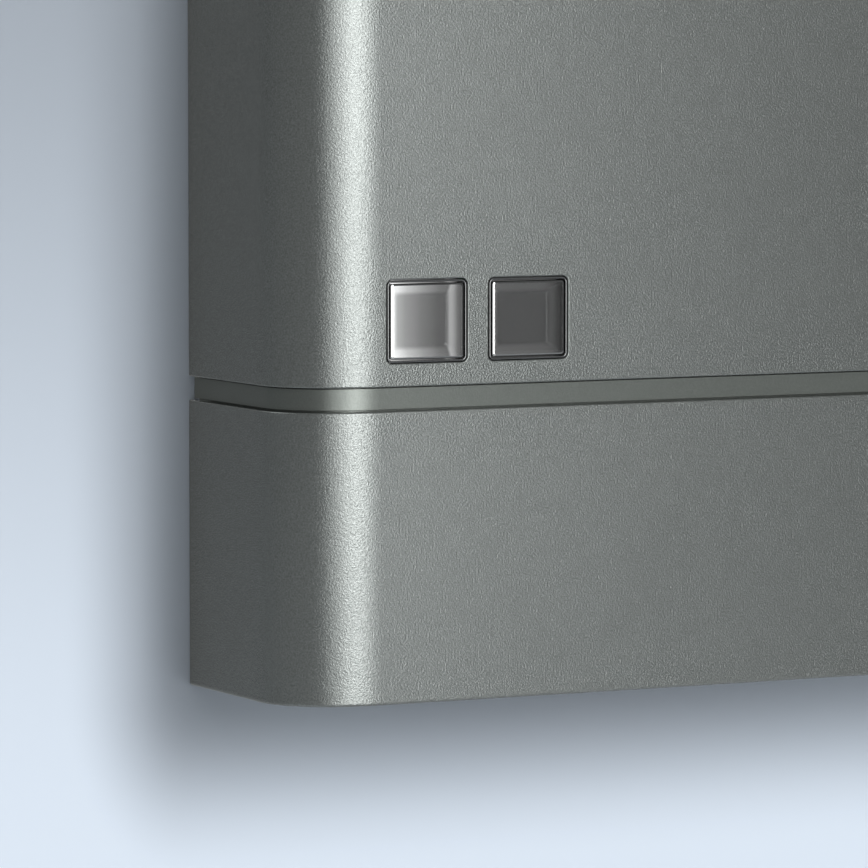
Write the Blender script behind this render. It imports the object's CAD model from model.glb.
"""Looks of the wall battery unit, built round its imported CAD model.

Metres, in the CAD's frame: X to the right, Y into the wall, Z up. The wall plane is Y = 0, the
front faces -Y, and the origin is the wall bracket's centre.
"""

import math

import bmesh
import bpy
from mathutils import Matrix, Vector


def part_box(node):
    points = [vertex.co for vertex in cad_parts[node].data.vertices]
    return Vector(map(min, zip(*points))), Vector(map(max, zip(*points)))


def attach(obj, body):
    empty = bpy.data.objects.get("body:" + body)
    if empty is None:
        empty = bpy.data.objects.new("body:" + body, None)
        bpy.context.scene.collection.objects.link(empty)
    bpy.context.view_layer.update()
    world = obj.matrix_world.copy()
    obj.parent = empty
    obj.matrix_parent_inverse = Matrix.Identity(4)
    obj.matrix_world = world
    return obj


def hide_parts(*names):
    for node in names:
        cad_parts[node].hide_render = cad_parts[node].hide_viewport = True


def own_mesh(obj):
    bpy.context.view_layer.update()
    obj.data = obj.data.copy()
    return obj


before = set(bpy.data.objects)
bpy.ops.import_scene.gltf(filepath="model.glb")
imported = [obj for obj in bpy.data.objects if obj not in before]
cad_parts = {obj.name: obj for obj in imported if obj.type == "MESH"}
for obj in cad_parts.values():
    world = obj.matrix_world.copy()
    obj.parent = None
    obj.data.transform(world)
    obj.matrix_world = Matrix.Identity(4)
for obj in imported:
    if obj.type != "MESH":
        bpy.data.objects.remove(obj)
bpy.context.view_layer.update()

# Casing, as the CAD has it
COVER_LOW, COVER_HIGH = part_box("upper_cover")
LOWER_LOW, LOWER_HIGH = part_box("lower_cover")
FRAME_LOW, FRAME_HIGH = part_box("mid_frame")
CHASSIS_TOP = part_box("rear_chassis")[1].z
HALF_WIDTH = COVER_HIGH.x
FRONT = COVER_LOW.y
BACK = COVER_HIGH.y
TOP = COVER_HIGH.z
BOTTOM = LOWER_LOW.z
COVER_WALL = 0.002
CORNER_ACROSS = 0.048
CORNER_DEEP = 0.041
CORNER_POWER = 2.3
CORNER_STEPS = 40
GROOVE_INSET = 0.003
FRAME_WALL = 0.003
SHADOW_GAP = 0.0009
SHADOW_DEPTH = 0.0026
EDGE_ROUND = 0.0012
HEM_ROUND = 0.0007
END_GUARD = 0.0008
FIT_GAP = 0.0003
SHELF_LOW = BOTTOM + 0.148
SHELF_HIGH = BOTTOM + 0.151
GROMMET_LIP = 0.002
GROMMET_CORNER = 0.0089
LUG_X = 0.150
LUG_HALF = 0.010
LUG_FRONT, LUG_BACK = -0.0345, -0.0315
LUG_TALL = 0.0145
TAB_X = 0.196
TAB_HALF = 0.012
NOTCH_HALF = 0.115
NOTCH_FRONT = -0.066
NOTCH_TALL = 0.004
UPPER_SCREW = (0.205, -0.062)
LOWER_SCREW = (0.190, -0.055)
SCREW_HOLE = 0.0026
UPPER_BOSS = 0.007
LOWER_BOSS = 0.0065
HEAD_RECESS = 0.0045

# The chassis's back panel, and the plane in front of it that pieces are mounted on
PLATE_BACK = -0.012
MOUNT_Y = -0.0143
RIB_PLACES = (-0.120, -0.040, 0.040, 0.120)
WALL_SCREW_X = 0.170
WALL_SCREW_RISE = 0.020
PAD_X = 0.180
PAD_RISE = 0.040

# Push keys
KEY_SIDES = ("left", "right")
KEY_CORNER = 0.0030
KEY_MARGIN = 0.0040
APERTURE_ROUND = 0.0007
APERTURE_STEPS = 6
CREST_STEPS = 8
TRAY_FLANGE = (0.0440, 0.0410)
TRAY_FLOOR = (0.0254, 0.0234)
FLAT_CAP_ANGLE = 20
LIT_GLOW = [
    (0.0, 0.90),
    (0.06, 0.75),
    (0.15, 0.54),
    (0.30, 0.31),
    (0.50, 0.17),
    (0.70, 0.085),
    (0.80, 0.07),
    (0.835, 0.24),
    (0.87, 0.18),
    (0.91, 0.08),
    (1.0, 0.02),
]
UNLIT_GLOW = [
    (0.0, 0.06),
    (0.12, 0.06),
    (0.15, 0.048),
    (0.72, 0.040),
    (0.84, 0.030),
    (0.90, 0.012),
    (1.0, 0.006),
]

# Connection compartment
GLANDS = (1, 2, 3)
GLAND_BORE = 0.008
BREAKER_LOW, BREAKER_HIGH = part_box("dc_breaker")
BREAKER_POLES = (-0.057, -0.039)
BREAKER_FACE = -0.066
TERMINAL_LOW, TERMINAL_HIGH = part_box("terminal_block")
TERMINAL_COUNT = 4
RAIL_LOW, RAIL_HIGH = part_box("din_rail")
RAIL_MIDDLE = (RAIL_LOW.z + RAIL_HIGH.z) / 2
CLAMP_SCREW = (0.0024, 0.0012)

# Camera
AIM = Vector((-0.230, -0.120, -0.470))
AIM_RIGHT = 0.06764
AIM_UP = 0.13371
CAMERA_YAW = 27.09
CAMERA_PITCH = 4.367
CAMERA_DISTANCE = 2.8186
CAMERA_LENS = 242.36

# Stage and light
WALL_Y = 0.0004
WALL_REACH = 1.4
FLOOR_Z = -0.95
FLOOR_REACH = 4.0
LIGHT_TARGET = Vector((-0.10, FRONT, -0.30))
ROOM_LIGHT = 0.162

# How far a cutter passes the surface that it opens, or a joined piece sinks in
OVERRUN = 0.001
QUARTER_TURN = Matrix.Rotation(math.pi / 2, 4, "X")


# Shaders --------------------------------------------------------------------------------------


class Nodes:
    """A short way to write a material's node tree."""

    def __init__(self, name):
        self.material = bpy.data.materials.new(name)
        self.material.use_nodes = True
        self.tree = self.material.node_tree
        self.shader = self.tree.nodes["Principled BSDF"]
        self.output = self.tree.nodes["Material Output"]
        self.place = self.tree.nodes.new("ShaderNodeTexCoord").outputs["Object"]

    def node(self, kind, inputs=None, **settings):
        made = self.tree.nodes.new(kind)
        for key, value in settings.items():
            setattr(made, key, value)
        for key, value in (inputs or {}).items():
            self.feed(made.inputs[key], value)
        return made

    def feed(self, socket, value):
        if isinstance(value, bpy.types.NodeSocket):
            self.tree.links.new(value, socket)
        else:
            socket.default_value = value

    def set(self, **values):
        for key, value in values.items():
            socket = key.replace("_", " ").title().replace("Ior", "IOR")
            self.feed(self.shader.inputs[socket], value)

    def noise(self, scale, detail=2.0, roughness=0.5, stretch=None):
        where = self.place
        if stretch:
            where = self.node(
                "ShaderNodeMapping", {"Vector": where, "Scale": stretch}
            ).outputs["Vector"]
        return self.node(
            "ShaderNodeTexNoise",
            {"Vector": where, "Scale": scale, "Detail": detail, "Roughness": roughness},
        ).outputs["Fac"]

    def remap(self, value, low, high, to_low, to_high, **settings):
        ends = {"From Min": low, "From Max": high, "To Min": to_low, "To Max": to_high}
        made = self.node("ShaderNodeMapRange", {"Value": value, **ends}, **settings)
        return made.outputs["Result"]

    def ramp(self, value, stops):
        made = self.node("ShaderNodeValToRGB", {"Fac": value})
        made.color_ramp.elements[0].position = stops[0][0]
        made.color_ramp.elements[0].color = grey_or_colour(stops[0][1])
        made.color_ramp.elements[1].position = stops[-1][0]
        made.color_ramp.elements[1].color = grey_or_colour(stops[-1][1])
        for position, colour in stops[1:-1]:
            made.color_ramp.elements.new(position).color = grey_or_colour(colour)
        return made.outputs["Color"]

    def mix(self, factor, a, b):
        made = self.node("ShaderNodeMix", data_type="RGBA")
        self.feed(made.inputs["Factor"], factor)
        self.feed(made.inputs["A"], grey_or_colour(a))
        self.feed(made.inputs["B"], grey_or_colour(b))
        return made.outputs["Result"]

    def bump(self, height, distance):
        made = self.node("ShaderNodeBump", {"Height": height, "Distance": distance})
        return made.outputs["Normal"]

    def tint(self, colour, scale):
        made = self.node("ShaderNodeVectorMath", {0: colour}, operation="SCALE")
        self.feed(made.inputs["Scale"], scale)
        return made.outputs[0]

    def math(self, operation, a, b=0.0):
        return self.node("ShaderNodeMath", {0: a, 1: b}, operation=operation).outputs[0]

    def axis(self, name):
        return self.node("ShaderNodeSeparateXYZ", {"Vector": self.place}).outputs[name]


def grey_or_colour(value):
    if isinstance(value, bpy.types.NodeSocket):
        return value
    if isinstance(value, (int, float)):
        return (value, value, value, 1.0)
    return (*value, 1.0)


PAINT_COLOUR = (0.262, 0.280, 0.270)
BAND_COLOUR = (0.198, 0.216, 0.200)
STEEL_COLOUR = (0.56, 0.57, 0.58)


def paint(name, colour, grain, roughness):
    """Fine-textured metallic grey powder coat. The same noise raises and brightens each speck."""
    m = Nodes(name)
    speckle = m.noise(1150.0, 2.0, 0.65)
    contrast, spread = 0.22 * grain, 0.035
    tone = m.remap(speckle, 0.3, 0.7, 1 - contrast, 1 + contrast)
    drift = m.remap(m.noise(9.0, 2.0), 0.3, 0.7, 0.985, 1.015)
    m.set(base_color=m.tint(colour, m.math("MULTIPLY", tone, drift)), metallic=0.70)
    gloss = m.noise(1100.0, 1.0)
    m.set(roughness=m.remap(gloss, 0.3, 0.7, roughness - spread, roughness + spread))
    m.set(normal=m.bump(speckle, 0.00018 * grain))
    return m.material


def zinc_plate():
    """Zinc-plated sheet steel, with a faint spangle and rolled streaks."""
    m = Nodes("zinc_plate")
    cells = m.node("ShaderNodeTexVoronoi", {"Vector": m.place, "Scale": 150.0}).outputs["Color"]
    spangle = m.node("ShaderNodeSeparateColor", {"Color": cells}).outputs["Red"]
    streaks = m.noise(40.0, 4.0, 0.6, stretch=(1.0, 1.0, 18.0))
    base = m.remap(spangle, 0.0, 1.0, 0.90, 1.0)
    tone = m.math("ADD", base, m.remap(streaks, 0.3, 0.7, -0.06, 0.06))
    m.set(base_color=m.tint(STEEL_COLOUR, tone), metallic=0.95)
    m.set(roughness=m.remap(streaks, 0.3, 0.7, 0.30, 0.46))
    m.set(normal=m.bump(m.noise(700.0, 2.0), 0.00004))
    return m.material


def turned_metal(name, colour):
    """Machined or cold-formed metal, finely scored round its axis, with dulled patches."""
    m = Nodes(name)
    wear = m.noise(420.0, 3.0)
    m.set(base_color=m.tint(colour, m.remap(wear, 0.3, 0.7, 0.82, 1.05)), metallic=1.0)
    m.set(roughness=m.remap(wear, 0.3, 0.7, 0.36, 0.22))
    m.set(normal=m.bump(m.noise(1800.0, 1.0, stretch=(0.2, 1.0, 1.0)), 0.00003))
    return m.material


def moulded(name, colour, roughness, grain=0.00005):
    """Moulded plastic with a fine spark-eroded grain."""
    m = Nodes(name)
    m.set(base_color=m.tint(colour, m.remap(m.noise(30.0, 3.0), 0.3, 0.7, 0.92, 1.07)))
    m.set(roughness=m.remap(m.noise(260.0, 2.0), 0.3, 0.7, roughness - 0.06, roughness + 0.08))
    m.set(normal=m.bump(m.noise(1300.0, 2.0), grain))
    return m.material


def two_part(name, plastic, metal, is_metal, plastic_roughness=0.45):
    """Plastic, with bare metal where is_metal(nodes) gives one."""
    m = Nodes(name)
    share = is_metal(m)
    tone = m.remap(m.noise(60.0, 3.0), 0.3, 0.7, 0.92, 1.06)
    m.set(base_color=m.mix(share, m.tint(plastic, tone), m.tint(metal, tone)), metallic=share)
    m.set(roughness=m.remap(share, 0.0, 1.0, plastic_roughness, 0.32))
    m.set(normal=m.bump(m.noise(900.0, 2.0), 0.00003))
    return m.material


def circuit_board(name, parts_from):
    """Green solder mask with copper tracks under it. Parts in front of parts_from are grey."""
    m = Nodes(name)
    tracks = 330.0
    across = m.math("MULTIPLY", m.axis("X"), tracks)
    up = m.math("MULTIPLY", m.axis("Z"), tracks)
    flat = m.node("ShaderNodeCombineXYZ", {"X": across, "Y": up}).outputs[0]
    brick = m.node("ShaderNodeTexBrick", {"Vector": flat, "Scale": 1.0, "Mortar Size": 0.12})
    board = m.mix(brick.outputs["Fac"], (0.012, 0.10, 0.045), (0.03, 0.17, 0.075))
    raised = m.math("LESS_THAN", m.axis("Y"), parts_from)
    part = m.remap(m.noise(55.0, 1.0), 0.35, 0.65, 0.03, 0.30)
    m.set(base_color=m.mix(raised, board, m.tint((1.0, 1.0, 1.02), part)))
    m.set(roughness=m.remap(m.noise(90.0, 2.0), 0.3, 0.7, 0.30, 0.45))
    m.set(normal=m.bump(brick.outputs["Fac"], 0.00003))
    return m.material


# Meshes ---------------------------------------------------------------------------------------


def new_object(name, mesh, material, body):
    mesh.materials.clear()
    mesh.materials.append(material)
    obj = bpy.data.objects.new(name, mesh)
    bpy.context.scene.collection.objects.link(obj)
    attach(obj, body)
    return obj


def add_piece(name, mesh, material, replaces=None, body="root", location=None, degrees=32):
    """A finished piece: placed, smooth where it is round, and in place of a CAD node if named."""
    if location:
        mesh.transform(Matrix.Translation(location))
    piece = new_object(name, mesh, material, body)
    shade_round(piece, degrees)
    if replaces:
        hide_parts(replaces)
    return piece


def finished_mesh(name, shape):
    bmesh.ops.remove_doubles(shape, verts=shape.verts, dist=1e-7)
    bmesh.ops.recalc_face_normals(shape, faces=shape.faces)
    mesh = bpy.data.meshes.new(name)
    shape.to_mesh(mesh)
    shape.free()
    return mesh


def lofted_mesh(name, loops, ring=False):
    """A skin over loops of points, all of one length. A ring joins the last loop to the first;
    otherwise the first and last loops are closed with flat ends."""
    shape = bmesh.new()
    rows = [[shape.verts.new(point) for point in loop] for loop in loops]
    count = len(rows[0])
    pairs = list(zip(rows, rows[1:]))
    if ring:
        pairs.append((rows[-1], rows[0]))
    for low, high in pairs:
        for i in range(count):
            after = (i + 1) % count
            shape.faces.new((low[i], low[after], high[after], high[i]))
    if not ring:
        shape.faces.new(rows[0])
        shape.faces.new(rows[-1])
    return finished_mesh(name, shape)


def shade_round(obj, degrees=32):
    """Smooth shading that leaves flat faces flat."""
    obj.data.shade_smooth()
    obj.data.set_sharp_from_angle(angle=math.radians(degrees))
    weighted = obj.modifiers.new("flat_faces", "WEIGHTED_NORMAL")
    weighted.keep_sharp = True


def combine(obj, mesh, operation="DIFFERENCE", location=(0, 0, 0)):
    """Cuts a mesh from the object's own, or joins it on, and keeps the result as plain mesh."""
    other = bpy.data.objects.new("tool", mesh)
    other.location = location
    bpy.context.scene.collection.objects.link(other)
    modifier = obj.modifiers.new(operation, "BOOLEAN")
    modifier.operation = operation
    modifier.object = other
    bpy.context.view_layer.update()
    graph = bpy.context.evaluated_depsgraph_get()
    result = bpy.data.meshes.new_from_object(obj.evaluated_get(graph))
    obj.modifiers.clear()
    materials = list(obj.data.materials)
    obj.data = result
    result.materials.clear()
    for material in materials:
        result.materials.append(material)
    bpy.data.objects.remove(other)


def plan_outline(inset, back):
    """The casing's outline seen from above, inset from its outer surface."""
    half, front = HALF_WIDTH - inset, FRONT + inset
    across, deep = CORNER_ACROSS - inset, CORNER_DEEP - inset
    power = 2 / CORNER_POWER
    left = []
    for i in range(CORNER_STEPS + 1):
        angle = math.pi / 2 * i / CORNER_STEPS
        x = -half + across * (1 - max(math.cos(angle), 0.0) ** power)
        y = front + deep * (1 - math.sin(angle) ** power)
        left.append((x, y))
    right = [(-x, y) for x, y in reversed(left)]
    return [(-half, back), *left, *right, (half, back)]


def plan_loop(inset, z, back=None):
    """The casing's outline at height z, closed at the back."""
    return [(x, y, z) for x, y in plan_outline(inset, BACK if back is None else back)]


def end_profile(z, radius, upward, steps=5):
    """The inset and height of each loop round a cover's end, from the flat end inwards."""
    sign = -1 if upward else 1
    pairs = []
    for i in range(steps + 1):
        angle = math.pi / 2 * i / steps
        pairs.append((radius * (1 - math.sin(angle)), z + sign * radius * (1 - math.cos(angle))))
    pairs.append((0.0, z + sign * (radius + END_GUARD)))
    return pairs


def front_loop(width, height, radius, y, steps=7):
    """A rounded rectangle in X and Z that faces the front, centred on the Y axis."""
    points = []
    for corner, (sx, sy) in enumerate(((1, 1), (-1, 1), (-1, -1), (1, -1))):
        x, z = sx * (width / 2 - radius), sy * (height / 2 - radius)
        for step in range(steps):
            angle = math.pi / 2 * (corner + step / (steps - 1))
            points.append((x + radius * math.cos(angle), y, z + radius * math.sin(angle)))
    return points


def turned_loop(radius, along, sides=0, steps=48, ripple=0.0, ripples=0):
    """A horizontal loop: round, ribbed, or a polygon whose flats are radius from the middle and
    whose corners are turned off."""
    longest = 1.13 * radius
    points = []
    for i in range(steps):
        angle = 2 * math.pi * i / steps
        reach = radius
        if sides:
            flat = 2 * math.pi / sides
            reach = min(radius / math.cos(angle % flat - flat / 2), longest)
        if ripples:
            reach += ripple * math.cos(ripples * angle)
        points.append((reach * math.cos(angle), reach * math.sin(angle), along))
    return points


def turned_mesh(name, profile, ring=False, **options):
    """A turned solid from (radius, height) or (radius, height, sides) values."""
    return lofted_mesh(name, [turned_loop(*values, **options) for values in profile], ring)


def rod_mesh(radius, low, high):
    """An upright rod, to bore a hole with or to join on as a boss."""
    return turned_mesh("rod", [(radius, low), (radius, high)])


def faced_forward(mesh):
    """Turns a mesh made along +Z so that it points to the front, -Y."""
    mesh.transform(QUARTER_TURN)
    return mesh


def extruded_mesh(name, outline, low, high):
    """A prism along X from its outline in (Y, Z)."""
    return lofted_mesh(name, [[(x, y, z) for y, z in outline] for x in (low, high)])


def soften(obj, width, segments=2):
    """Small rounded edges, with flat faces kept flat."""
    bevel = obj.modifiers.new("edge_round", "BEVEL")
    bevel.width = width
    bevel.segments = segments
    bevel.limit_method = "ANGLE"
    bevel.angle_limit = math.radians(40)
    bevel.harden_normals = True


def box_mesh(name, low, high):
    loops = [
        [(low[0], low[1], z), (high[0], low[1], z), (high[0], high[1], z), (low[0], high[1], z)]
        for z in (low[2], high[2])
    ]
    return lofted_mesh(name, loops)


# Casing ---------------------------------------------------------------------------------------


def cover_solid(low, high, closed_at_top):
    """Outer solid of a cover, with a fine round on its closed end and a smaller one on its hem."""
    low_round, high_round = (HEM_ROUND, EDGE_ROUND) if closed_at_top else (EDGE_ROUND, HEM_ROUND)
    pairs = end_profile(low, low_round, upward=False)
    pairs += reversed(end_profile(high, high_round, upward=True))
    return lofted_mesh("cover", [plan_loop(inset, z) for inset, z in pairs])


def cavity_solid(low, high, closed_at_top):
    """What leaves a cover hollow, open at its hem and at the back."""
    inner_low = low - OVERRUN if closed_at_top else low + COVER_WALL
    inner_high = high - COVER_WALL if closed_at_top else high + OVERRUN
    loops = [plan_loop(COVER_WALL, z, back=BACK + 0.002) for z in (inner_low, inner_high)]
    return lofted_mesh("cavity", loops)


def key_middle(side):
    low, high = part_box(f"key_cap_{side}")
    return Vector(((low.x + high.x) / 2, FRONT, (low.z + high.z) / 2))


def key_size(side):
    """Width and height of the opening that the key sits in."""
    low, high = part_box(f"key_cap_{side}")
    return high.x - low.x + KEY_MARGIN, high.z - low.z + KEY_MARGIN


def key_aperture_mesh(side):
    """What a key's opening takes from the cover, rounded at its outer edge."""
    wide, tall = key_size(side)
    edge = [(APERTURE_ROUND, -OVERRUN)]
    for step in range(APERTURE_STEPS + 1):
        angle = math.pi / 2 * step / APERTURE_STEPS
        grow, depth = 1 - math.sin(angle), 1 - math.cos(angle)
        edge.append((APERTURE_ROUND * grow, APERTURE_ROUND * depth))
    edge.append((0.0, COVER_WALL + OVERRUN))
    loops = [front_loop(wide + 2 * g, tall + 2 * g, KEY_CORNER + g, y) for g, y in edge]
    return lofted_mesh("aperture", loops)


def make_upper_cover(material):
    solid = cover_solid(COVER_LOW.z, TOP, closed_at_top=True)
    cover = new_object("upper_cover_shell", solid, material, "root")
    combine(cover, cavity_solid(COVER_LOW.z, TOP, closed_at_top=True))
    for side in KEY_SIDES:
        combine(cover, key_aperture_mesh(side), location=key_middle(side))
    x, y = UPPER_SCREW
    tab_low = FRAME_HIGH.z + FIT_GAP
    for side in (-1, 1):
        low = (side * LUG_X - LUG_HALF, LUG_FRONT, TOP - LUG_TALL)
        high = (side * LUG_X + LUG_HALF, LUG_BACK, TOP - OVERRUN)
        combine(cover, box_mesh("lug", low, high), "UNION")
        inner, outer = sorted((side * TAB_X, side * (HALF_WIDTH - OVERRUN)))
        low = (inner, y - TAB_HALF, tab_low)
        high = (outer, y + TAB_HALF, tab_low + COVER_WALL)
        combine(cover, box_mesh("screw_tab", low, high), "UNION")
        hole = rod_mesh(SCREW_HOLE, tab_low - OVERRUN, tab_low + 2 * COVER_WALL)
        combine(cover, hole, location=(side * x, y, 0))
    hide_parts("upper_cover")
    shade_round(cover)


def make_lower_cover(material):
    low, high = LOWER_LOW.z, LOWER_HIGH.z
    solid = cover_solid(low, high, closed_at_top=False)
    cover = new_object("lower_cover_shell", solid, material, "lower_cover")
    combine(cover, cavity_solid(low, high, closed_at_top=False))
    notch_low = (-NOTCH_HALF, NOTCH_FRONT, low - OVERRUN)
    notch_high = (NOTCH_HALF, BACK + OVERRUN, low + NOTCH_TALL)
    combine(cover, box_mesh("notch", notch_low, notch_high))
    boss_low, boss_high = low + 0.0015, low + 0.0075
    recess_floor = low + 0.0035
    for side in (-1, 1):
        place = (side * LOWER_SCREW[0], LOWER_SCREW[1], 0)
        combine(cover, rod_mesh(LOWER_BOSS, boss_low, boss_high), "UNION", place)
        combine(cover, rod_mesh(HEAD_RECESS, low - OVERRUN, recess_floor), location=place)
        hole = rod_mesh(SCREW_HOLE, low + COVER_WALL, boss_high + 0.0015)
        combine(cover, hole, location=place)
    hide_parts("lower_cover")
    shade_round(cover)


def make_groove_frame(material):
    """The band in the groove. A shadow gap shows where each cover ends."""
    inset, deep = GROOVE_INSET, GROOVE_INSET + SHADOW_DEPTH
    foot = LOWER_HIGH.z + SHADOW_GAP
    head = COVER_LOW.z - 0.6 * SHADOW_GAP
    edge, guard = 0.0002, 0.0010
    pairs = [
        (inset, FRAME_LOW.z),
        (inset, LOWER_HIGH.z - OVERRUN),
        (deep, LOWER_HIGH.z - OVERRUN),
        (deep, foot),
        (inset + edge, foot),
        (inset, foot + edge),
        (inset, foot + guard),
        (inset, head - guard),
        (inset, head - edge),
        (inset + edge, head),
        (deep, head),
        (deep, COVER_LOW.z + OVERRUN),
        (inset, COVER_LOW.z + OVERRUN),
        (inset, FRAME_HIGH.z),
    ]
    solid = lofted_mesh("band", [plan_loop(i, z) for i, z in pairs])
    band = new_object("groove_band", solid, material, "root")
    ends = (FRAME_LOW.z - OVERRUN, FRAME_HIGH.z + OVERRUN)
    inside = [plan_loop(inset + FRAME_WALL, z, back=BACK + OVERRUN) for z in ends]
    combine(band, lofted_mesh("inside", inside))
    levels = (SHELF_LOW, SHELF_HIGH)
    shelf = [plan_loop(inset + FRAME_WALL / 2, z, back=MOUNT_Y) for z in levels]
    combine(band, lofted_mesh("shelf", shelf), "UNION")
    for side in (-1, 1):
        place = (side * UPPER_SCREW[0], UPPER_SCREW[1], 0)
        boss = rod_mesh(UPPER_BOSS, SHELF_LOW + OVERRUN, FRAME_HIGH.z)
        combine(band, boss, "UNION", place)
        hole = rod_mesh(SCREW_HOLE, SHELF_LOW - OVERRUN, FRAME_HIGH.z + OVERRUN)
        combine(band, hole, location=place)
    low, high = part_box("lead_grommet")
    wide, long = high.x - low.x - 2 * GROMMET_LIP, high.y - low.y - 2 * GROMMET_LIP
    loops = [front_loop(wide, long, GROMMET_CORNER, depth) for depth in (-0.005, 0.008)]
    hole = lofted_mesh("grommet_hole", loops)
    hole.transform(QUARTER_TURN)
    combine(band, hole, location=((low.x + high.x) / 2, (low.y + high.y) / 2, SHELF_LOW))
    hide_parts("mid_frame")
    shade_round(band)


# Push keys ------------------------------------------------------------------------------------


def cap_size(side):
    wide, tall = key_size(side)
    return wide - KEY_MARGIN, tall - KEY_MARGIN


def make_bezel(side, material):
    """A glossy ring whose rounded crest lies just under the front, inside the opening."""
    wide, tall = key_size(side)
    middle, half, rise, foot, sunk = 0.0009, 0.0005, 0.0005, 0.0080, 0.0001
    lip = [(middle - half, foot)]
    for step in range(CREST_STEPS + 1):
        angle = math.pi * step / CREST_STEPS
        lip.append((middle - half * math.cos(angle), sunk + rise * (1 - math.sin(angle))))
    lip.append((middle + half, foot))
    loops = [front_loop(wide - 2 * g, tall - 2 * g, KEY_CORNER - g, y) for g, y in lip]
    mesh = lofted_mesh("bezel", loops, ring=True)
    replaced = f"key_bezel_{side}"
    add_piece(f"bezel_{side}", mesh, material, replaced, location=key_middle(side))


def make_cap(side, glass, bright_bevel, bevel):
    """A clear cap. Its polished bevel is brighter on the left."""
    middle = key_middle(side)
    wide, tall = cap_size(side)
    profile = [
        (0.0020, 0.0037),
        (0.0, 0.0033),
        (0.0, 0.0009),
        (0.0002, 0.0005),
        (0.0006, 0.0002),
        (0.0012, 0.00005),
        (0.0020, 0.0),
        (0.0060, -0.0003),
    ]
    bevel_back, face_front = FRONT + 0.0010, FRONT - 0.0001
    loops = [front_loop(wide - g, tall - g, KEY_CORNER / 2, y) for g, y in profile]
    cap = add_piece(
        f"cap_{side}",
        lofted_mesh("cap", loops),
        glass,
        f"key_cap_{side}",
        f"key_{side}",
        middle,
        FLAT_CAP_ANGLE,
    )
    cap.data.materials.append(bright_bevel)
    cap.data.materials.append(bevel)
    for face in cap.data.polygons:
        depths = [cap.data.vertices[i].co.y for i in face.vertices]
        if max(depths) < bevel_back and min(depths) > face_front:
            face.material_index = 1 if face.center.x < middle.x - 0.45 * wide else 2


def make_light_tray(side, material):
    """The key's plunger: a flange at the back, and a hollow front with sloping walls."""
    wide, tall = cap_size(side)
    corner, rim = KEY_CORNER / 2, 0.0014
    loops = [
        front_loop(*TRAY_FLANGE, KEY_CORNER, 0.0110),
        front_loop(*TRAY_FLANGE, KEY_CORNER, 0.0085),
        front_loop(wide, tall, corner, 0.0085),
        front_loop(wide, tall, corner, 0.0040),
        front_loop(wide - rim, tall - rim, corner, 0.0040),
    ]
    for grow, depth in ((0.0028, 0.0073), (0.0014, 0.0077), (0.0, 0.0078)):
        loops.append(front_loop(TRAY_FLOOR[0] + grow, TRAY_FLOOR[1] + grow, corner, depth))
    add_piece(
        f"light_tray_{side}",
        lofted_mesh("tray", loops),
        material,
        f"key_plunger_{side}",
        f"key_{side}",
        key_middle(side),
        FLAT_CAP_ANGLE,
    )


def make_key_spring(side, material):
    """The return spring, between the tray and the key board. It shortens as the key goes in."""
    low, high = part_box(f"key_spring_{side}")
    wire, turns, steps, sides = 0.0004, 4.5, 40, 10
    radius = (high.x - low.x) / 2 - wire
    front, back = low.y + wire, high.y - wire
    count = int(turns * steps)
    inward = Vector((0, 1, 0))
    loops = []
    for i in range(count + 1):
        angle = 2 * math.pi * i / steps
        outward = Vector((math.cos(angle), 0, math.sin(angle)))
        middle = radius * outward + Vector((0, front + (back - front) * i / count, 0))
        ring = []
        for j in range(sides):
            turn = 2 * math.pi * j / sides
            ring.append(middle + wire * (math.cos(turn) * outward + math.sin(turn) * inward))
        loops.append(ring)
    place = ((low.x + high.x) / 2, 0, (low.z + high.z) / 2)
    name = f"return_spring_{side}"
    mesh = lofted_mesh("spring", loops)
    spring = add_piece(name, mesh, material, f"key_spring_{side}", location=place)
    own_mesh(spring)


def glass_material():
    m = Nodes("acrylic")
    smears = m.remap(m.noise(70.0, 3.0), 0.35, 0.7, 0.02, 0.05)
    m.set(base_color=(0.92, 0.93, 0.93, 1.0), roughness=smears, transmission_weight=1.0, ior=1.49)
    return m.material


def bezel_material():
    m = Nodes("bezel_black")
    m.set(base_color=m.tint((0.24, 0.245, 0.245), m.remap(m.noise(80.0), 0.3, 0.7, 0.93, 1.07)))
    m.set(metallic=1.0, roughness=m.remap(m.noise(90.0), 0.3, 0.7, 0.10, 0.14))
    return m.material


def bevel_material(name, colour):
    """The polished edge of a clear cap, which reflects like a mirror."""
    m = Nodes(name)
    m.set(base_color=m.tint(colour, m.remap(m.noise(90.0), 0.3, 0.7, 0.95, 1.05)))
    m.set(metallic=1.0, roughness=m.remap(m.noise(300.0), 0.3, 0.7, 0.10, 0.14))
    return m.material


def tray_material(side):
    """Satin grey light tray. The left key's lamp is lit, and its glow fades to the right. The
    sloping walls, in front of the floor, glow more than it does."""
    m = Nodes(f"light_tray_{side}")
    middle = key_middle(side)
    wide = key_size(side)[0]
    across = m.remap(m.axis("X"), middle.x - wide / 2, middle.x + wide / 2, 0.0, 1.0)
    stops, gain = {"left": (LIT_GLOW, 1.9), "right": (UNLIT_GLOW, 2.1)}[side]
    wall_gain = m.remap(m.axis("Y"), FRONT + 0.0064, FRONT + 0.0078, gain, 1.0)
    m.set(base_color=m.tint((0.05, 0.05, 0.05), m.remap(m.noise(60.0), 0.3, 0.7, 0.94, 1.06)))
    m.set(roughness=m.remap(m.noise(400.0), 0.3, 0.7, 0.32, 0.38))
    m.set(emission_color=m.tint(m.ramp(across, stops), wall_gain), emission_strength=1.0)
    return m.material


# Connection compartment ----------------------------------------------------------------------


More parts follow.
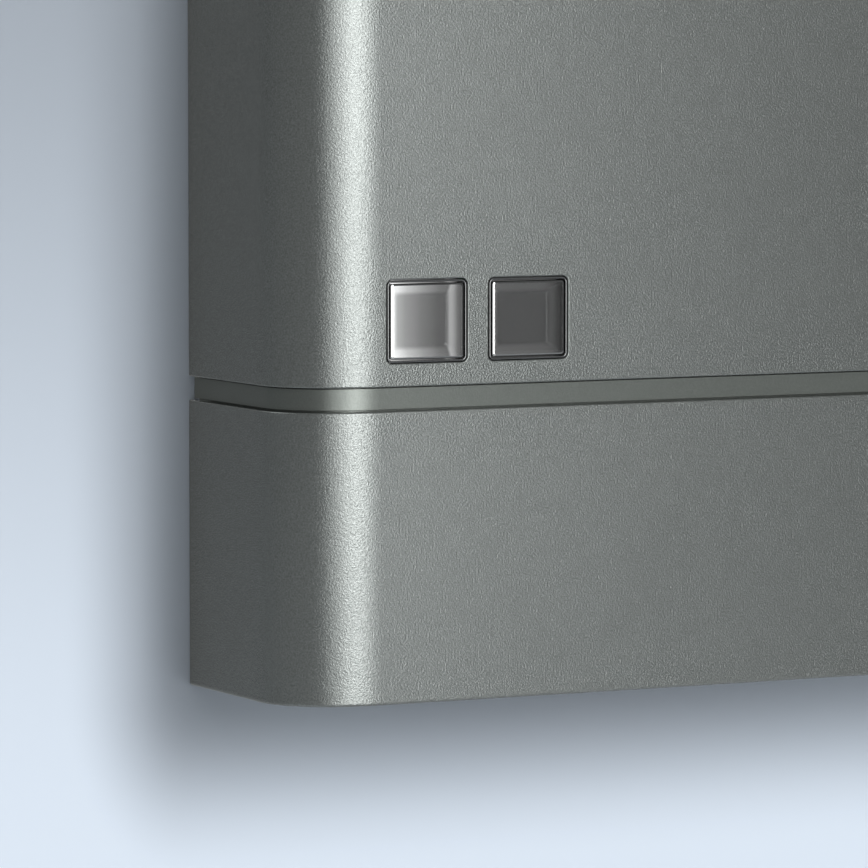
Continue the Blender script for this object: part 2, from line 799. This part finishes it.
def screw_head_mesh(radius, tall, recess):
    """A domed screw head along +Z from its seat, with a cross recess."""
    dome = ((1.0, 0.0), (1.0, 0.35), (0.94, 0.62), (0.78, 0.86), (0.55, 1.0), (0.05, 1.0))
    profile = [(across * radius, up * tall) for across, up in dome]
    head = bpy.data.objects.new("head", turned_mesh("head", profile, steps=32))
    bpy.context.scene.collection.objects.link(head)
    long, thin, floor = 0.58 * radius, 0.13 * radius, tall - recess
    for half in ((long, thin), (thin, long)):
        low, high = (-half[0], -half[1], floor), (half[0], half[1], tall + OVERRUN)
        combine(head, box_mesh("cross", low, high))
    mesh = head.data
    bpy.data.objects.remove(head)
    return mesh


def make_front_screw(name, place, material, radius=0.0035, tall=0.0022):
    """A screw head that faces the front, seated at place."""
    mesh = faced_forward(screw_head_mesh(radius, tall, 0.6 * tall))
    return add_piece(name, mesh, material, location=place)


def make_glands(plastic, rubber):
    """Each gland's hexagon body and ribbed, domed nut, with the rubber insert in its mouth."""
    thread = [(0.0125 - 0.0004 * (i % 2), 0.0465 + 0.0007 * i) for i in range(16)]
    body = [
        (GLAND_BORE, 0.026),
        (0.0120, 0.026),
        (0.0120, 0.038),
        (0.0142, 0.038, 6),
        (0.0150, 0.0388, 6),
        (0.0150, 0.0450, 6),
        (0.0142, 0.0457, 6),
        (0.0125, 0.0457),
        *thread,
        (0.0120, 0.058),
        (GLAND_BORE, 0.058),
    ]
    insert = [
        (0.0079, 0.0150),
        (0.0072, 0.0143),
        (0.0062, 0.0146),
        (0.0060, 0.0156),
        (0.0060, 0.0225),
        (0.0079, 0.0240),
    ]
    for number in GLANDS:
        low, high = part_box(f"gland_body_{number}")
        place = Vector(((low.x + high.x) / 2, (low.y + high.y) / 2, BOTTOM))
        hexagon = turned_mesh("gland_body", body, ring=True, steps=60)
        mouth = turned_mesh("insert", insert, ring=True)
        for word, mesh, material, slot, replaced in (
            ("hexagon", hexagon, plastic, "black_plastic", f"gland_body_{number}"),
            ("dome", gland_nut_mesh(), plastic, "black_plastic", f"gland_nut_{number}"),
            ("insert", mouth, rubber, "rubber", None),
        ):
            add_piece(f"gland_{word}_{number}", mesh, material, replaced, location=place)


def gland_nut_mesh():
    """A gland's nut: grip ribs round its skirt, then a smooth dome down to the mouth."""
    skirt, mouth, shoulder, dome_tall, dome_steps = 0.0145, 0.0098, 0.0262, 0.0122, 7
    profile = [(0.0124, 0.0375), (0.0141, 0.0375), (skirt, 0.0371), (skirt, 0.0275)]
    profile.append((skirt, shoulder))
    for i in range(1, dome_steps + 1):
        angle = math.pi / 2 * i / dome_steps
        reach = mouth + (skirt - mouth) * math.cos(angle)
        profile.append((reach, shoulder - dome_tall * math.sin(angle)))
    profile += [(0.0086, 0.0140), (GLAND_BORE, 0.0146), (GLAND_BORE, 0.0245), (0.0124, 0.0255)]
    loops = []
    for radius, height in profile:
        ribbed = 0.0274 <= height <= 0.0372 and radius > 0.0144
        loops.append(turned_loop(radius, height, steps=96, ripple=0.0004 * ribbed, ripples=16))
    return lofted_mesh("gland_nut", loops, ring=True)


def make_din_rail(steel):
    """The top-hat rail, with the usual long holes along its web."""
    front, back, web, lip, fold = RAIL_LOW.y, MOUNT_Y, 0.0125, 0.0175, 0.001
    upper = [
        (back, web),
        (front + fold, web),
        (front + fold, lip),
        (front, lip),
        (front, web - fold),
        (back - fold, web - fold),
    ]
    lower = [(y, -z) for y, z in reversed(upper)]
    outline = [(y, RAIL_MIDDLE + z) for y, z in [*upper, *lower]]
    mesh = extruded_mesh("rail", outline, RAIL_LOW.x, RAIL_HIGH.x)
    rail = new_object("slotted_rail", mesh, steel, "root")
    pitch, long, tall = 0.025, 0.0150, 0.0052
    for i in range(int((RAIL_HIGH.x - RAIL_LOW.x) / pitch)):
        x = RAIL_LOW.x + pitch * (i + 0.5)
        slot = [front_loop(long, tall, 0.495 * tall, y) for y in (back - 0.003, back + 0.002)]
        combine(rail, lofted_mesh("slot", slot), location=(x, 0, RAIL_MIDDLE))
    soften(rail, 0.0002)
    shade_round(rail)
    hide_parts("din_rail")


def nut_profile(start, end, edge=0.0005):
    """A hexagon nut from start to end along its axis."""
    ends, flats = 0.0058, 0.0065
    return [(ends, start), (flats, start + edge, 6), (flats, end - edge, 6), (ends, end)]


def thread_profile(start, end, pitch=0.0005):
    """Crests and roots of a thread, in turn."""
    count = int((end - start) / pitch)
    return [(0.0040 - 0.0004 * (i % 2), start + pitch * i) for i in range(count)]


def make_earth_stud(brass):
    low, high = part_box("earth_stud")
    profile = [
        *nut_profile(0.0, 0.005),
        *thread_profile(0.0052, 0.012),
        *nut_profile(0.012, 0.018),
        *thread_profile(0.0182, 0.0225),
        (0.003, 0.023),
    ]
    mesh = faced_forward(turned_mesh("stud", profile, steps=60))
    place = ((low.x + high.x) / 2, high.y, (low.z + high.z) / 2)
    add_piece("earth_bolt", mesh, brass, "earth_stud", location=place)


def make_compartment_screws(steel):
    """Clamp screws in the wells of the breaker and the terminals, and the rail's and plate's own."""
    inset, breaker_well, terminal_well = 0.0075, 0.0045, 0.0060
    heights = (("low", BREAKER_LOW.z + inset), ("high", BREAKER_HIGH.z - inset))
    for pole, x in enumerate(BREAKER_POLES, start=1):
        for end, z in heights:
            place = (x, BREAKER_FACE + breaker_well, z)
            make_front_screw(f"breaker_screw_{pole}_{end}", place, steel, *CLAMP_SCREW)
    pitch = (TERMINAL_HIGH.x - TERMINAL_LOW.x) / TERMINAL_COUNT
    for i in range(TERMINAL_COUNT):
        x = TERMINAL_LOW.x + pitch * (i + 0.5)
        place = (x, BREAKER_FACE + terminal_well, TERMINAL_LOW.z + 0.022)
        make_front_screw(f"terminal_screw_{i + 1}", place, steel, *CLAMP_SCREW)
    plate_y, plate_z = MOUNT_Y - 0.003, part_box("gland_plate")[1].z - 0.009
    for word, x in (("left", -0.092), ("right", 0.092)):
        make_front_screw(f"plate_screw_{word}", (x, plate_y, plate_z), steel)
    for word, x in (("left", RAIL_LOW.x + 0.0125), ("right", RAIL_HIGH.x - 0.0125)):
        make_front_screw(f"rail_screw_{word}", (x, MOUNT_Y - 0.001, RAIL_MIDDLE), steel)


def make_breaker_trim(dark):
    """The collar round the toggle's opening, and the shadow line between the breaker's poles."""
    x = (BREAKER_LOW.x + BREAKER_HIGH.x) / 2
    wide, tall = BREAKER_HIGH.x - BREAKER_LOW.x - 0.003, 0.020
    profile = [(0.0, 0.0), (0.0, -0.0006), (-0.0006, -0.0010), (-0.0018, -0.0010), (-0.0018, 0.0)]
    loops = [front_loop(wide + g, tall + g, 0.001, y) for g, y in profile]
    collar = lofted_mesh("collar", loops, ring=True)
    place = (x, BREAKER_LOW.y + 0.0002, (BREAKER_LOW.z + BREAKER_HIGH.z) / 2)
    add_piece("breaker_collar", collar, dark, location=place)
    near, far = 0.0002, 0.0148
    for word, levels in (
        ("low", (BREAKER_LOW.z + near, BREAKER_LOW.z + far)),
        ("high", (BREAKER_HIGH.z - far, BREAKER_HIGH.z - near)),
    ):
        section = ((-0.0003, 0.001), (0.0, -0.0002), (0.0003, 0.001))
        loops = [[(x + dx, BREAKER_FACE + dy, z) for dx, dy in section] for z in levels]
        add_piece(f"breaker_seam_{word}", lofted_mesh("seam", loops), dark)


def make_socket_contacts(brass):
    """Eight spring contacts in each data socket."""
    low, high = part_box("comm_sockets")
    middle, contacts, pitch, wide = (low.x + high.x) / 2, 8, 0.00102, 0.0005
    side_view = ((0.0120, -0.0040), (0.0012, 0.0006), (0.0012, 0.0009), (0.0126, -0.0037))
    for number, rise in enumerate((0.0115, 0.0325), start=1):
        outline = [(low.y + y, low.z + rise + z) for y, z in side_view]
        shape = bmesh.new()
        for i in range(contacts):
            left = middle + pitch * (i - (contacts - 1) / 2) - wide / 2
            shape.from_mesh(extruded_mesh("blade", outline, left, left + wide))
        add_piece(f"socket_contacts_{number}", finished_mesh("contacts", shape), brass)


# Back ----------------------------------------------------------------------------------------


def make_back_ribs(steel):
    """Ribs pressed out of the chassis's back, above and below the wall bracket."""
    bracket_low, bracket_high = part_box("wall_bracket")
    wide = 0.022
    profile = [
        (0.0, -0.0001),
        (0.0, 0.0002),
        (0.0012, 0.0012),
        (0.0030, 0.0026),
        (0.0056, 0.0034),
        (0.0084, 0.0036),
    ]
    for word, low, high in (
        ("lower", BOTTOM + 0.075, bracket_low.z - 0.030),
        ("upper", bracket_high.z + 0.025, CHASSIS_TOP - 0.030),
    ):
        for number, x in enumerate(RIB_PLACES, start=1):
            tall, place = high - low, (x, PLATE_BACK, (low + high) / 2)
            loops = [
                front_loop(wide - g, tall - g, (wide - g) / 2 - 0.0001, y) for g, y in profile
            ]
            name = f"back_rib_{word}_{number}"
            add_piece(name, lofted_mesh("rib", loops), steel, location=place)


def make_wall_fixings(steel, rubber):
    """Washer-head screws that hold the bracket to the wall, and the pads on the wall stops."""
    low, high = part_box("wall_bracket")
    middle = (low.z + high.z) / 2
    screw = [
        (0.0042, -0.0024),
        (0.0042, 0.0),
        (0.0085, 0.0),
        (0.0085, 0.0012),
        (0.0060, 0.0018),
        (0.0058, 0.0022, 6),
        (0.0058, 0.0050, 6),
        (0.0050, 0.0056),
    ]
    pad = [(0.0020, 0.0), (0.0100, 0.0), (0.0108, 0.0008), (0.0108, 0.0070), (0.0101, 0.0075)]
    for side, word in ((-1, "left"), (1, "right")):
        for rise, level in ((-WALL_SCREW_RISE, "low"), (WALL_SCREW_RISE, "high")):
            mesh = faced_forward(turned_mesh("wall_screw", screw, steps=60))
            place = (side * WALL_SCREW_X, -0.003, middle + rise)
            add_piece(f"wall_screw_{word}_{level}", mesh, steel, location=place)
        mesh = faced_forward(turned_mesh("pad", pad, steps=48))
        place = (side * PAD_X, -0.0001, BOTTOM + PAD_RISE)
        add_piece(f"wall_stop_pad_{word}", mesh, rubber, location=place)


# Carried-over CAD nodes ----------------------------------------------------------------------


def dress(node, material, edge=0.0):
    """Gives a CAD node its material, smooth round faces and, if asked, softened edges."""
    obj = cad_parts[node]
    for index in range(len(obj.material_slots)):
        obj.material_slots[index].link = "OBJECT"
        obj.material_slots[index].material = material
    if edge:
        soften(obj, edge)
    shade_round(obj, 35)


def in_front_of(y):
    """For two_part: metal where the surface is in front of y."""
    return lambda m: m.math("LESS_THAN", m.axis("Y"), y)


def beyond_height(middle, half):
    """For two_part: metal where the surface is more than half away from the middle height."""
    return lambda m: m.math(
        "GREATER_THAN", m.math("ABSOLUTE", m.math("SUBTRACT", m.axis("Z"), middle)), half
    )


def dress_nodes(steel, screw_steel, plastic, rubber):
    for node in ("rear_chassis", "wall_bracket", "gland_plate"):
        dress(node, steel, 0.0004)
    for side in KEY_SIDES:
        dress(f"key_switch_{side}", plastic, 0.0002)
        dress(f"lower_cover_screw_{side}", screw_steel, 0.0002)
        dress(f"upper_cover_screw_{side}", screw_steel, 0.0002)
    dress("key_housing", plastic, 0.0004)
    dress("pressure_vent", plastic, 0.0003)
    dress("comm_sockets", plastic, 0.0005)
    dress("breaker_toggle", moulded("toggle_plastic", (0.018, 0.018, 0.019), 0.32), 0.0005)
    dress("dc_breaker", moulded("breaker_plastic", (0.60, 0.61, 0.60), 0.42), 0.0007)
    dress("terminal_block", moulded("terminal_plastic", (0.36, 0.38, 0.38), 0.45), 0.0006)
    dress("cover_seal", rubber)
    dress("lead_grommet", rubber, 0.0008)
    fine = 0.00002
    dress("positive_lead", moulded("red_insulation", (0.42, 0.022, 0.016), 0.42, fine))
    dress("negative_lead", moulded("black_insulation", (0.020, 0.020, 0.021), 0.42, fine))
    dress("key_board", circuit_board("key_circuit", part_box("key_board")[0].y + 0.0014))
    dress("bms_board", circuit_board("battery_circuit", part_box("bms_board")[1].y - 0.0018))
    tray_plastic = moulded("tray_plastic", (0.58, 0.59, 0.58), 0.50)
    lid = in_front_of(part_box("cell_01")[0].y + 0.0023)
    can = two_part("cell_film", (0.06, 0.17, 0.36), (0.75, 0.76, 0.77), lid, 0.30)
    for name in ("lower", "upper"):
        dress(f"module_tray_{name}", tray_plastic, 0.0006)
        plate = f"contact_plate_{name}"
        links = in_front_of(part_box(plate)[0].y + 0.0012)
        dress(plate, two_part(plate, (0.55, 0.56, 0.55), (0.78, 0.50, 0.33), links), 0.0004)
    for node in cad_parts:
        if node.startswith("cell_"):
            dress(node, can)
    studs = in_front_of(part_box("main_contactor")[0].y + 0.0118)
    contactor = two_part("contactor", (0.022, 0.022, 0.024), (0.74, 0.52, 0.22), studs)
    dress("main_contactor", contactor, 0.0005)
    low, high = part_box("main_fuse")
    caps = beyond_height((low.z + high.z) / 2, 0.018)
    fuse = two_part("fuse", (0.62, 0.61, 0.57), (0.70, 0.69, 0.66), caps)
    dress("main_fuse", fuse)


# Stage, lights and camera ---------------------------------------------------------------------


def camera_axes():
    """The camera's forward, right and up directions."""
    yaw, pitch = math.radians(CAMERA_YAW), math.radians(CAMERA_PITCH)
    level = math.cos(pitch)
    forward = Vector((math.sin(yaw) * level, math.cos(yaw) * level, -math.sin(pitch)))
    right = Vector((math.cos(yaw), -math.sin(yaw), 0))
    return forward, right, right.cross(forward)


def make_camera():
    forward, right, up = camera_axes()
    data = bpy.data.cameras.new("camera")
    data.lens = CAMERA_LENS
    data.clip_start = 0.05
    camera = bpy.data.objects.new("camera", data)
    target = AIM + AIM_RIGHT * right + AIM_UP * up
    turn = Matrix((right, up, -forward)).transposed().to_4x4()
    camera.matrix_world = Matrix.Translation(target - CAMERA_DISTANCE * forward) @ turn
    bpy.context.scene.collection.objects.link(camera)
    bpy.context.scene.camera = camera


def one_sided_material(name, colour, roughness):
    """Seen from the front only, so that a view from behind the wall isn't blocked."""
    m = Nodes(name)
    m.set(base_color=grey_or_colour(colour), roughness=roughness)
    clear = m.node("ShaderNodeBsdfTransparent").outputs["BSDF"]
    behind = m.node("ShaderNodeNewGeometry").outputs["Backfacing"]
    mixed = m.node("ShaderNodeMixShader")
    m.feed(mixed.inputs[0], behind)
    m.feed(mixed.inputs[1], m.shader.outputs["BSDF"])
    m.feed(mixed.inputs[2], clear)
    m.feed(m.output.inputs["Surface"], mixed.outputs["Shader"])
    return m


def wall_material():
    """Pale blue-grey wall, lit less close to the unit and less at its upper part."""
    m = one_sided_material("wall_paint", (0.36, 0.40, 0.45), 0.9)

    def beyond(axis, middle, half):
        size = m.math("ABSOLUTE", m.math("SUBTRACT", m.axis(axis), middle))
        return m.math("MAXIMUM", m.math("SUBTRACT", size, half), 0.0)

    sides = beyond("X", 0.0, HALF_WIDTH)
    ends = m.math("MULTIPLY", beyond("Z", (TOP + BOTTOM) / 2, (TOP - BOTTOM) / 2), 0.68)
    corner = m.node("ShaderNodeCombineXYZ", {"X": sides, "Y": ends}).outputs[0]
    length = m.node("ShaderNodeVectorMath", {0: corner}, operation="LENGTH")
    smooth = {"interpolation_type": "SMOOTHSTEP"}
    near = m.remap(length.outputs["Value"], 0.006, 0.07, 0.0, 1.0, **smooth)
    low = m.remap(m.axis("Z"), 0.0, -0.60, 0.14, 1.05, **smooth)
    m.set(emission_color=(0.80, 0.89, 1.0, 1.0))
    m.set(emission_strength=m.math("MULTIPLY", m.math("MULTIPLY", near, low), 0.55))
    return m.material


def plane(name, corners, material):
    mesh = bpy.data.meshes.new(name)
    mesh.from_pydata(corners, [], [(0, 1, 2, 3)])
    mesh.materials.append(material)
    obj = bpy.data.objects.new(name, mesh)
    bpy.context.scene.collection.objects.link(obj)
    return obj


def make_stage():
    """The wall behind the unit, which casts no shadow and isn't reflected, and the floor."""
    sides = ((-1, -1), (1, -1), (1, 1), (-1, 1))
    corners = [(x * WALL_REACH, WALL_Y, WALL_REACH if z > 0 else FLOOR_Z) for x, z in sides]
    wall = plane("wall", corners, wall_material())
    wall.visible_shadow = False
    wall.visible_glossy = False
    corners = [(x * FLOOR_REACH, y * FLOOR_REACH, FLOOR_Z) for x, y in sides]
    floor_paint = one_sided_material("floor_paint", (0.70, 0.71, 0.72), 0.8).material
    plane("floor", corners, floor_paint)


def area_light(name, azimuth, elevation, distance, size, power):
    """A soft light. Azimuth is measured from straight in front, positive to the right."""
    az, el = math.radians(azimuth), math.radians(elevation)
    level = math.cos(el)
    away = Vector((math.sin(az) * level, -math.cos(az) * level, math.sin(el)))
    data = bpy.data.lights.new(name, "AREA")
    data.shape = "RECTANGLE"
    data.size, data.size_y = size
    data.energy = power
    light = bpy.data.objects.new(name, data)
    light.location = LIGHT_TARGET + away * distance
    light.rotation_euler = (-away).to_track_quat("-Z", "Y").to_euler()
    bpy.context.scene.collection.objects.link(light)


def make_lights():
    area_light("front_panel", -3.5, 0.0, 3.0, (2.3, 3.2), 39.5)
    area_light("front_strip", 6.5, 0.0, 2.9, (0.9, 3.2), 33.0)
    area_light("overhead", 15.0, 68.0, 2.6, (2.6, 2.0), 9.0)
    area_light("rear_panel", 135.0, 0.0, 3.0, (2.4, 2.8), 36.0)
    area_light("top_panel", 225.0, 40.0, 2.6, (2.0, 1.4), 9.0)
    world = bpy.data.worlds.new("room")
    world.use_nodes = True
    background = world.node_tree.nodes["Background"]
    background.inputs["Color"].default_value = (1.0, 1.0, 1.0, 1.0)
    background.inputs["Strength"].default_value = ROOM_LIGHT
    bpy.context.scene.world = world


def main():
    bpy.context.scene.view_settings.view_transform = "Standard"
    make_camera()
    make_stage()
    make_lights()
    grey = paint("powder_coat", PAINT_COLOUR, 1.0, 0.205)
    make_upper_cover(grey)
    make_lower_cover(grey)
    make_groove_frame(paint("powder_coat_band", BAND_COLOUR, 0.28, 0.32))
    glass = glass_material()
    bezel = bezel_material()
    bright_bevel = bevel_material("polished_bevel", (0.56, 0.57, 0.57))
    bevel = bevel_material("polished_edge", (0.36, 0.37, 0.37))
    trays = {side: tray_material(side) for side in KEY_SIDES}
    for side in KEY_SIDES:
        make_bezel(side, bezel)
        make_cap(side, glass, bright_bevel, bevel)
        make_light_tray(side, trays[side])
    steel = zinc_plate()
    screw_steel = turned_metal("screw_steel", (0.62, 0.62, 0.61))
    for side in KEY_SIDES:
        make_key_spring(side, screw_steel)
    brass = turned_metal("brass", (0.70, 0.50, 0.20))
    plastic = moulded("black_plastic", (0.022, 0.022, 0.023), 0.45)
    rubber = moulded("rubber", (0.020, 0.020, 0.020), 0.72, 0.00008)
    make_glands(plastic, rubber)
    make_din_rail(steel)
    make_earth_stud(brass)
    make_compartment_screws(screw_steel)
    make_breaker_trim(plastic)
    make_socket_contacts(brass)
    make_back_ribs(steel)
    make_wall_fixings(screw_steel, rubber)
    dress_nodes(steel, screw_steel, plastic, rubber)


main()
